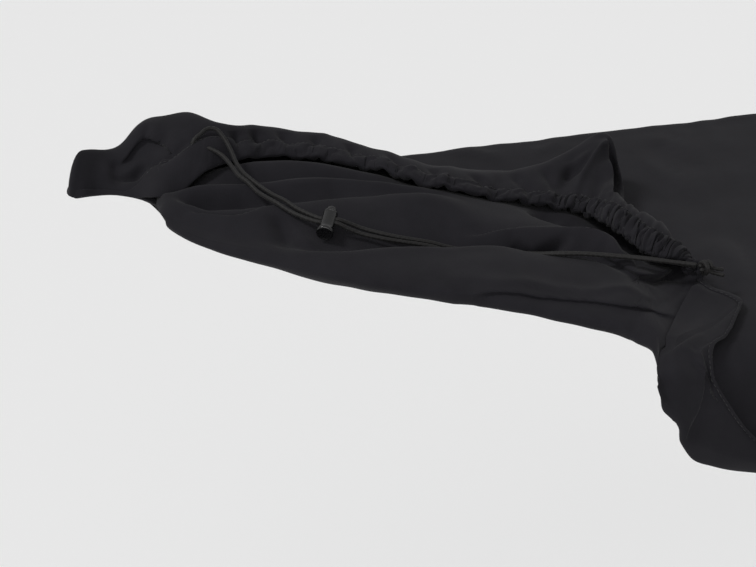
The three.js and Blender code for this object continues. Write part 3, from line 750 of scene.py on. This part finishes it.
# Laps: folds where the cloth on one side of a path lies over the cloth on its other side. The
# path runs through some places (section, line from the back hem to the front hem); over: 1 where its left
# side is on top, -1 where its right side is; reach: how far the sides are drawn over each other; rise: how
# far the top side stands up; soft: width of the turn; fade: how far from the path it dies away
LAPS = table("at over reach rise soft fade path", [
    ("leaf over the front face", 1, 9, 3.5, 3, 12,
     [(13.3, 22.4), (13.5, 21), (13.9, 18.8), (14.17, 17.5), (14.53, 16.8), (14.85, 16.2)]),
    ("front face over its lower layer", 1, 6, 2.2, 3.2, 9,
     [(8.67, 10.85), (9.14, 11.06), (9.82, 11.2), (10.57, 11.24), (11.28, 11.31), (11.77, 11.43),
      (12.06, 11.57), (12.28, 11.76), (12.52, 12.33), (12.86, 14.15), (13.33, 15.9), (13.8, 17.2)]),
    ("crest over the broad top", -1, 7, 2.5, 4, 10,
     [(8.4, 13.5), (8.7, 13.7), (9.08, 14.1), (9.81, 14.2), (10.6, 14.1), (11.1, 14)]),
    ("loop over the front face", 1, 9, 8, 3, 11,
     [(11.09, 13.3), (11.52, 13.3), (11.8, 13.5), (12.04, 15), (12.21, 17.5), (12.31, 19.2)]),
    ("roll over the tail", 1, 5, 3, 2.5, 8,
     [(3.63, 17.6), (3.2, 16.9), (3.07, 14.6), (3.2, 12.7), (3.7, 11.7), (4.1, 11.3)]),
    ("front of the roll over its hollow", -1, 5, 2.5, 2.5, 9,
     [(4.67, 13.6), (5.19, 13.6), (5.62, 13.6), (5.92, 13.8), (6.14, 15.2)]),
    ("peak over its hollow", -1, 7, 4, 2.5, 10,
     [(10.06, 21.2), (10.29, 21.45), (10.56, 21.36), (10.68, 21.5), (10.8, 21.6)]),
    ("arch of the tail", 1, 6, 3, 2.5, 8,
     [(1.3, 21.8), (1.6, 21.55), (2, 21.5), (2.6, 21.6), (3.17, 21.77), (3.77, 22.1)]),
    ("lower fold of the leaf", -1, 4, 1.5, 2.5, 8,
     [(19.8, 20), (19.3, 16.5), (18.83, 14), (18.12, 12), (18.2, 11.4)]),
])
# Hollows on paths of the same kind; sides as for the creases; push: how far and which way the cloth is moved
HOLLOWS = table("at sides push path", [
    ("right of the peak", (10, 11), (12, 22, -12),
     [(10.2, 21.2), (10.45, 20.95), (10.6, 20.8), (10.73, 20.9), (10.85, 21.3)]),
    ("pocket under the crest", (4, 4), (4, 7, -10),
     [(9.2, 13.7), (9.4, 13.4), (9.65, 13.25), (9.9, 13.4), (10.25, 13.7)]),
])
# Creases on paths of the same kind; sides: how far each slopes away to the left and right of
# its path; height: outwards, or inwards where negative
CREASES = table("sides height path", [
    # Front face of the fold
    ((6, 5), 1.5, [(4.5, 11.6), (5.8, 11.5), (6.7, 11.9), (7, 12.5)]),
    ((2.5, 9), 2.2, [(6.9, 12.3), (7.6, 12.2), (8.4, 12.1), (9.2, 12.1), (9.9, 12.2)]),
    ((6, 3), -2.5, [(7.2, 12.9), (8, 12.8), (8.8, 12.8), (9.5, 12.8)]),
    ((6, 3), 1.6, [(8.58, 11.3), (9.25, 11.3), (10.1, 11.4), (10.8, 11.4), (11.5, 11.55), (12.22, 12.56),
                   (12.66, 16.06)]),
    # Hollow behind the loop that hangs under the scrunched casing
    ((9, 9), -9, [(10.5, 16), (11, 17), (11.5, 17.4)]),
    # Hollow of the broad top where it goes under the gathers
    ((12, 10), -9, [(9.1, 15.9), (9.5, 15.7), (9.9, 15.4), (10.3, 15.2)]),
    ((4, 4), 2.5, [(9.4, 15.1), (9.65, 15.6), (9.9, 16.2)]),
    # Front roll
    ((7, 7), -5, [(4.5, 15), (5.1, 15), (5.6, 15.1), (6, 15.3)]),
    ((2.5, 4), 1.6, [(4.2, 16), (4.9, 15.9), (5.6, 15.8), (6.4, 15.9), (7, 16)]),
    ((4, 7), -5, [(6.2, 13.7), (6.35, 13.3), (6.4, 12.7)]),
    ((7, 4), 3, [(6.5, 13.6), (6.6, 13.2), (6.8, 13)]),
    # Crumples of the tail, left of the band
    ((5, 4), 2.5, [(1.56, 21.3), (1.9, 21.25), (2.5, 21.3), (3.2, 21.6)]),
    ((3, 3), 3.5, [(1.5, 22.05), (1.9, 21.95), (2.4, 22), (3, 22.1)]),
    ((3, 3), -4, [(1.3, 22.2), (1.65, 22.25), (2, 22.15)]),
    ((4, 4), -3.5, [(1.15, 21.5), (1.25, 22), (1.35, 22.6)]),
    ((4, 4), -4, [(3, 21.5), (3.5, 21.9), (4, 22.1)]),
    ((4, 2), -4, [(1.7, 22.3), (2.2, 22.05), (3.2, 22.15), (3.97, 22.1), (4.4, 21.95)]),
    # Dents between the bulges behind the casing
    ((5, 4), -5, [(5.3, 21.6), (5.4, 22.2), (5.46, 22.6)]),
    ((4, 5), -5, [(5.6, 21.5), (5.7, 22), (5.8, 22.6)]),
    ((5, 4), -5, [(6, 21.4), (6.1, 22), (6.15, 22.6)]),
    ((4, 5), -5, [(6.45, 21.3), (6.5, 22), (6.5, 22.6)]),
    ((5, 4), -4.5, [(6.85, 21.4), (6.9, 22), (6.9, 22.8)]),
    ((4, 4), -3, [(7.3, 21.4), (7.5, 22.2), (7.55, 22.9)]),
    ((4, 4), -3, [(7.85, 21.2), (7.95, 21.7), (8, 22.6)]),
    ((4, 4), -3, [(8.3, 21.5), (8.45, 22), (8.55, 22.9)]),
    ((4, 4), -3, [(8.75, 21.3), (8.85, 21.9), (9.05, 22.7)]),
    ((4, 4), -3, [(9.1, 21.4), (9.25, 21.9), (9.5, 22.6)]),
    # Peak: its left ridge and the folds at its foot
    ((3, 2), 4, [(10.05, 21.35), (9.97, 21.6), (9.88, 21.9), (9.81, 22.18), (9.8, 22.46)]),
    ((3, 3), 3, [(9.42, 21.75), (9.62, 21.72), (9.88, 21.6)]),
    ((2.5, 2.5), -3, [(9.5, 22), (9.65, 21.95), (9.8, 21.9)]),
    ((4, 4), -4, [(9.6, 21.6), (9.55, 22), (9.55, 22.5)]),
    ((3, 3), -3, [(10.1, 21.9), (10.15, 22.3), (10.2, 22.7)]),
    # Streaks of the leaf
    ((5, 5), 1.5, [(15.2, 20.8), (16.3, 17.7), (17.1, 15.4)]),
    ((5, 5), -1.5, [(15.5, 22), (16.2, 20.1), (18.2, 17.8)]),
    ((5, 5), -1.5, [(16.1, 16), (16.1, 14.7), (16.6, 12.5)]),
    # Wrinkles of the top
    ((6, 6), 1.6, [(8.1, 4.5), (8.3, 5), (8.55, 5.4)]),
    ((6, 6), 1.4, [(8.8, 5.4), (8.9, 5.1), (9, 4.8)]),
    ((7, 7), 1.4, [(10.1, 5.8), (10.8, 6.1), (11.8, 6.6)]),
    ((7, 7), 1.4, [(10, 5.3), (10.6, 5.4), (11.3, 5.8)]),
    ((8, 8), 1.8, [(12.6, 7.6), (14.6, 7.6), (16, 7.8), (18.7, 8.2)]),
    ((8, 8), -1.5, [(13.6, 7.2), (15.3, 7.4), (17.7, 7.9)]),
])
# Steps from one place of a path to the next, then along it; how near to it the grid is looked at, in sections
# and lines; and how it begins and ends
PLACE_STEPS = 60
PATH_STEP = 0.8
NEAR_SECTIONS = 1.2
NEAR_LINES = 2
CREASE_END_HEIGHT = 0.15
CREASE_ENDS = 0.3
LAP_ENDS = 0.15
# Lines between which the cloth shows its inner side, and the sections where it does
INSIDE_LINES = (9.5, 19.3)
INSIDE_UNTIL = 24.7
THIRD_LAYER_UNTIL = 13.3


def wander(places, stretches):
    """Uneven drift along a line, from waves of some lengths."""
    total = np.zeros_like(places)
    for stretch in stretches:
        total += np.sin(2 * np.pi * places / stretch + RANDOM.uniform(0, 2 * np.pi))
    return total / len(stretches)


def ripple(points, wave):
    """Soft unevenness in space: waves of about that length, in all directions."""
    total = np.zeros(points.shape[:-1])
    for _ in range(RIPPLE_WAVES):
        way = unit(RANDOM.normal(size=3))
        length = wave * RANDOM.uniform(*RIPPLE_SHARES)
        total += np.sin(2 * np.pi * (points @ way) / length + RANDOM.uniform(0, 2 * np.pi))
    return total / math.sqrt(RIPPLE_WAVES)


def nearest_on(points, path):
    """Distance from each point to the nearest of a path's points, and that point's number."""
    nearest = np.full(points.shape[:-1], np.inf)
    number = np.zeros(points.shape[:-1], int)
    for i, place in enumerate(path):
        distance = np.linalg.norm(points - place, axis=-1)
        number = np.where(distance < nearest, i, number)
        nearest = np.minimum(nearest, distance)
    return nearest, number


def visible_side(row_at, column_at):
    """1 where the normals point to the side of the cloth that shows, -1 where they point away from it."""
    def past(place, at):
        return np.clip(at - place + 0.5, 0, 1)

    inner = past(INSIDE_LINES[0], column_at)[None, :] * (1 - past(INSIDE_UNTIL, row_at))[:, None]
    third = past(INSIDE_LINES[1], column_at)[None, :] * (1 - past(THIRD_LAYER_UNTIL, row_at))[:, None]
    return 1 - 2 * inner * (1 - third)


def at_place(values, rows, columns):
    """Values of a grid between its lines."""
    row = np.minimum(rows.astype(int), len(values) - 2)
    column = np.minimum(columns.astype(int), values.shape[1] - 2)
    down = (rows - row)[:, None]
    over = (columns - column)[:, None]
    upper = mixed(values[row, column], values[row, column + 1], over)
    return mixed(upper, mixed(values[row + 1, column], values[row + 1, column + 1], over), down)


def surface_path(grid, outward, row_at, column_at, stops):
    """Points of a path over the cloth, the ways out and to the left there, and the grid's part near it."""
    stops = np.array([(*stop, 0) for stop in stops], float)
    places = spread(stops, [PLACE_STEPS] * (len(stops) - 1))
    rows = np.interp(places[:, 0], row_at, np.arange(len(row_at)))
    columns = np.interp(places[:, 1], column_at, np.arange(len(column_at)))
    line = at_place(grid, rows, columns)
    along = lengths_along(line)
    steps = np.linspace(0, along[-1], max(2, round(along[-1] / PATH_STEP) + 1))
    path, out = [
        np.stack([np.interp(steps, along, values[:, k]) for k in range(3)], axis=-1)
        for values in (line, at_place(outward, rows, columns))
    ]
    out = unit(out)
    left = unit(np.cross(out, np.gradient(path, axis=0)))
    near = [
        (at > places[:, k].min() - room) & (at < places[:, k].max() + room)
        for k, at, room in ((0, row_at, NEAR_SECTIONS), (1, column_at, NEAR_LINES))
    ]
    return path, out, left, np.ix_(*near)


def near_ends(number, count, share):
    """0 at both ends of a path, rising to 1 over a share of its length."""
    done = number / (count - 1)
    return np.clip(np.minimum(done, 1 - done) / share, 0, 1)


def crease_share(grid, outward, row_at, column_at, crease):
    """How much of a crease's height each point of the grid has."""
    path, _, left, window = surface_path(grid, outward, row_at, column_at, crease["path"])
    distance, number = nearest_on(grid[window], path)
    on_left = np.sum((grid[window] - path[number]) * left[number], axis=-1) > 0
    width = np.where(on_left, *crease["sides"])
    ends = mixed(CREASE_END_HEIGHT, 1, near_ends(number, len(path), CREASE_ENDS))
    share = np.zeros(grid.shape[:2])
    share[window] = ends * np.exp(-(distance / width) ** 2)
    return share


def lap_shift(grid, outward, row_at, column_at, lap):
    """How far a lap moves each point of the grid."""
    path, out, left, window = surface_path(grid, outward, row_at, column_at, lap["path"])
    distance, number = nearest_on(grid[window], path)
    side = np.sum((grid[window] - path[number]) * left[number], axis=-1)
    turn = np.tanh(side / lap["soft"]) * np.exp(-distance / lap["fade"])
    turn = turn * near_ends(number, len(path), LAP_ENDS)
    shift = np.zeros_like(grid)
    shift[window] = turn[..., None] * (lap["over"] * lap["rise"] * out[number] - lap["reach"] * left[number])
    return shift


def close_end(grid):
    """The grid with extra rows that draw its first row together into a rounded end."""
    first = grid[0]
    middle = first[TAIL_SKIRT:].mean(axis=0)
    turn = np.linspace(np.pi / 2, 0, TAIL_ROWS, endpoint=False)[:, None, None]
    cap = middle + (first - middle) * np.cos(turn) + np.array(TAIL_BULGE) * np.sin(turn)
    return np.concatenate([cap, grid])


def gather_strength(row_at):
    return np.interp(row_at, np.arange(len(ROWS)), [row["gather"] for row in ROWS])


def lengths_across(grid):
    return lengths_along(grid.transpose(1, 0, 2)).T


# Casing that the drawstring runs in, along the hem: section, width, thickness and pleat length there
CASING_AT, CASING_WIDTH, CASING_THICK, CASING_PLEAT = np.array([
    (0, 5, 0.2, 30), (0.3, 5, 2.2, 30), (1.5, 3, 2.4, 30), (1.7, 6, 3, 30), (2.15, 19, 3.4, 30),
    (3, 38, 3.6, 26), (4.5, 36, 3.6, 24), (5.6, 15, 6.5, 14), (7, 12, 8, 12), (9, 12, 7.5, 13),
    (9.7, 14, 8, 7), (10.3, 18, 8.5, 5), (11, 22, 9, 4.6), (12.3, 20, 9, 4.4), (12.8, 12, 7.5, 4.4),
    (13, 9, 6.5, 6), (14, 6, 3, 12), (17, 5, 2.4, 20), (20, 5, 2.4, 20), (26, 7, 3.4, 12), (33, 7, 3.4, 12),
]).T
CASING_SIDES = 14
CASING_ROUND = 0.6
# Columns of the cover that it may take up, and its points between two of the cover's rows
HEM_COLUMNS = 48
CASING_STEP = 0.25
# Its pleats: how much finer they are at some sections, how they slant and drift, and their sizes
FINER_AT = (9.4, 10.2, 12.9, 13.4)
FINER = (1, 1.8, 1.8, 1)
SLANT = 0.45
SLANT_FROM = 0.6
UNEVEN = 0.3
UNEVEN_TURN = 9
UNEVEN_WAVES = (17, 29, 43)
PLEAT_SIZES = (0.7, 1.25)
# Puckers between them, with finer wrinkles, and how deep both go where the hem is gathered
PUCKER_POWER = 1.1
PUCKER_DEPTH = 0.95
WRINKLES = 2.3
WRINKLE_DRIFT = 0.4
WRINKLE_WAVES = (11, 19)
WRINKLE_DEPTH = 0.3
PINCH = 0.6
MOST_PINCH = 0.85
# Seam: its place in the casing's outline, how far it stands out, and the section where it starts
SEAM_COLUMN = -3
SEAM_OUT = 0.15
SEAM_FROM = 2.3


def make_cover():
    """The cover, its grid, the way out at its hem, its rows' sections and the count of pleats along it."""
    lines = spread(cover_sections(), ROW_STEPS)
    base = spread(lines.transpose(1, 0, 2), COLUMN_STEPS).transpose(1, 0, 2)
    row_at = stations(ROW_STEPS)
    column_at = stations(COLUMN_STEPS)
    outward = grid_normals(base) * visible_side(row_at, column_at)[..., None]
    sheet = (base, outward, row_at, column_at)
    along = lengths_along(base[:, -1])
    pleat = np.interp(row_at, CASING_AT, CASING_PLEAT)
    pleat_at = np.concatenate([[0], np.cumsum(np.diff(along) / pleat[1:])])
    pleat_at = pleat_at + DRIFT * wander(along, DRIFT_WAVES)
    from_hem = lengths_across(base[:, ::-1])[:, ::-1]
    strength = gather_strength(row_at)
    lift = np.zeros(base.shape[:2])
    for kind in GATHERS:
        swell = strength * (SWELL + SWELL_DRIFT * wander(along, SWELL_WAVES)) * np.sqrt(pleat / USUAL_PLEAT)
        wave = np.sin(2 * np.pi * pleat_at / kind["pleats"] + kind["pleats"])
        lift += (kind["height"] * swell * wave)[:, None] * np.exp(-from_hem / kind["fade"])
    for crease in CREASES:
        lift += crease["height"] * crease_share(*sheet, crease)
    for kind in RIPPLES:
        lift += kind["height"] * ripple(base, kind["wave"])
    cords = np.concatenate([even(path, CORD_STEP) for path in (upper_path, lower_path)])
    clear = np.clip((nearest_on(base, cords)[0] - CORD_ROOM) / CORD_FADE, 0, 1)
    lift = np.maximum(lift, 0) * clear + np.minimum(lift, 0)
    laps = sum(lap_shift(*sheet, lap) for lap in LAPS)
    grid = base + outward * lift[..., None] + laps * clear[..., None]
    for hollow in HOLLOWS:
        grid += crease_share(*sheet, hollow)[..., None] * np.array(hollow["push"])
    whole = close_end(grid)
    middle = lengths_along(whole[:, whole.shape[1] // 2])[:, None]
    flat = np.stack(np.broadcast_arrays(middle, lengths_across(whole)), axis=-1) * MM
    faces = grid_faces(*whole.shape[:2])[:, ::-1]
    obj = mesh_object("cover_cloth", whole.reshape(-1, 3), faces, CLOTH, flat.reshape(-1, 2))
    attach(obj, "cloth")
    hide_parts("cover")
    return obj, grid, outward[:, -1], row_at, pleat_at


cover, cover_grid, hem_outward, cover_rows, hem_pleats = make_cover()


def at_rows(values, rows):
    """Values between a grid's rows."""
    low = np.minimum(rows.astype(int), len(values) - 2)
    share = (rows - low).reshape(-1, *([1] * (values.ndim - 1)))
    return mixed(values[low], values[low + 1], share)


def make_casing():
    """The casing and the line of its seam."""
    old = np.arange(len(cover_grid))
    rows = np.arange(0, len(cover_grid) - 1 + CASING_STEP, CASING_STEP)
    sheet = at_rows(cover_grid[:, ::-1][:, :HEM_COLUMNS], rows)
    at = np.interp(rows, old, cover_rows)
    strength = gather_strength(at)
    width = np.interp(at, CASING_AT, CASING_WIDTH)
    thick = np.interp(at, CASING_AT, CASING_THICK)
    along = lengths_along(sheet[:, 0])
    depth = lengths_across(sheet)
    turn = np.linspace(0, np.pi, CASING_SIDES)
    across = width[:, None] * (1 - np.cos(turn)) / 2
    middle = np.stack([
        np.stack([np.interp(across[i], depth[i], sheet[i, :, k]) for k in range(3)], axis=-1)
        for i in range(len(rows))
    ])
    normals = grid_normals(middle)
    facing = np.sign(np.sum(normals[:, 0] * at_rows(hem_outward, rows), axis=-1))
    normals = normals * facing[:, None, None]
    # Pleats of uneven size and slant, with finer wrinkles between them
    bend = SLANT * np.sin(turn + SLANT_FROM)
    bend = bend + UNEVEN * wander(along[:, None] + UNEVEN_TURN * turn, UNEVEN_WAVES)
    turns = np.interp(rows, old, hem_pleats)
    finer = np.interp(at, FINER_AT, FINER)
    turns[1:] = turns[0] + np.cumsum(np.diff(turns) * finer[1:])
    pleat_at = turns[:, None] + bend
    pucker = np.abs(np.cos(np.pi * pleat_at)) ** PUCKER_POWER
    wrinkle_at = WRINKLES * pleat_at + WRINKLE_DRIFT * wander(along, WRINKLE_WAVES)[:, None]
    wrinkle = (1 + np.cos(2 * np.pi * wrinkle_at)) / 2
    pinch = np.clip(PINCH * strength, 0, MOST_PINCH)[:, None]
    sizes = RANDOM.uniform(*PLEAT_SIZES, int(turns.max()) + 4)
    size = np.interp(pleat_at, np.arange(len(sizes)) - 1, sizes)
    swell = mixed(1, size, np.clip(strength, 0, 1)[:, None])
    depth_share = 1 - pinch * (PUCKER_DEPTH * (1 - pucker) + WRINKLE_DEPTH * (1 - wrinkle))
    half = thick[:, None] / 2 * np.sin(turn) ** CASING_ROUND * swell * depth_share
    top = middle + normals * half[..., None]
    under = middle - normals * half[..., None]
    rings = np.concatenate([top, under[:, -2:0:-1]], axis=1)
    flat = np.stack(np.broadcast_arrays(along[:, None], np.arange(rings.shape[1])), axis=-1) * MM
    faces = grid_faces(*rings.shape[:2], closed=True)
    obj = mesh_object("hem_casing", rings.reshape(-1, 3), faces, CLOTH, flat.reshape(-1, 2))
    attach(obj, "cloth")
    seam = top[:, SEAM_COLUMN] + normals[:, SEAM_COLUMN] * SEAM_OUT
    return obj, seam[at > SEAM_FROM]


casing, seam_line = make_casing()

# Stitches of the casing's seam: length, gap, step along the thread, its sides and its radii from end to end
STITCH = 2.6
STITCH_GAP = 1
THREAD_STEP = 0.65
THREAD_SIDES = 6
THREAD_RADII = (0.06, 0.2, 0.23, 0.2, 0.06)


def make_stitches():
    line = even(seam_line, THREAD_STEP)
    step = round((STITCH + STITCH_GAP) / THREAD_STEP)
    count = len(THREAD_RADII)
    radii = np.array(THREAD_RADII)[:, None, None]
    turn = np.linspace(0, 2 * np.pi, THREAD_SIDES, endpoint=False)[:, None]
    sides, ups = side_frames(line)
    faces = grid_faces(count, THREAD_SIDES, closed=True)
    parts = []
    for start in range(0, len(line) - count, step):
        span = slice(start, start + count)
        ring = np.cos(turn) * sides[span, None] + np.sin(turn) * ups[span, None]
        parts.append(((line[span, None] + ring * radii).reshape(-1, 3), faces))
    obj = mesh_object("casing_stitches", *join(parts), THREAD)
    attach(obj, "cloth")
    return obj


stitches = make_stitches()

# Studio
FLOOR_Z = -0.72
FLOOR_SIZE = 40
FLOOR_COLOR = (0.94, 0.94, 0.94)
FLOOR_ROUGHNESS = 0.9
WORLD_STRENGTH = 0.4
SUNS = [
    dict(name="daylight", way=(-0.62, 0.05, 0.78), spread_deg=16, power=1.5),
    dict(name="front window", way=(-0.45, -0.85, 0.28), spread_deg=50, power=1),
]


def make_floor():
    half = FLOOR_SIZE / 2
    corners = [(x * half, y * half, FLOOR_Z) for x, y in ((-1, -1), (1, -1), (1, 1), (-1, 1))]
    mesh = bpy.data.meshes.new("floor")
    mesh.from_pydata(corners, [], [(0, 1, 2, 3)])
    mesh.materials.append(new_material("pale floor", FLOOR_COLOR, FLOOR_ROUGHNESS)[0])
    floor = bpy.data.objects.new("floor", mesh)
    bpy.context.collection.objects.link(floor)


def make_sun(name, way, spread_deg, power):
    """Soft light from a direction, as wide as so many degrees."""
    data = bpy.data.lights.new(name, "SUN")
    data.angle = math.radians(spread_deg)
    data.energy = power
    light = bpy.data.objects.new(name, data)
    back = unit(np.array(way, float))
    right = unit(np.cross((0, 1, 0), back))
    light.matrix_world = Matrix((right, np.cross(back, right), back)).transposed().to_4x4()
    bpy.context.collection.objects.link(light)


def make_world():
    world = bpy.data.worlds.new("studio")
    world.use_nodes = True
    background = world.node_tree.nodes["Background"]
    background.inputs["Color"].default_value = (1, 1, 1, 1)
    background.inputs["Strength"].default_value = WORLD_STRENGTH
    bpy.context.scene.world = world


make_floor()
make_world()
for sun in SUNS:
    make_sun(**sun)
bpy.context.scene.view_settings.view_transform = "Standard"
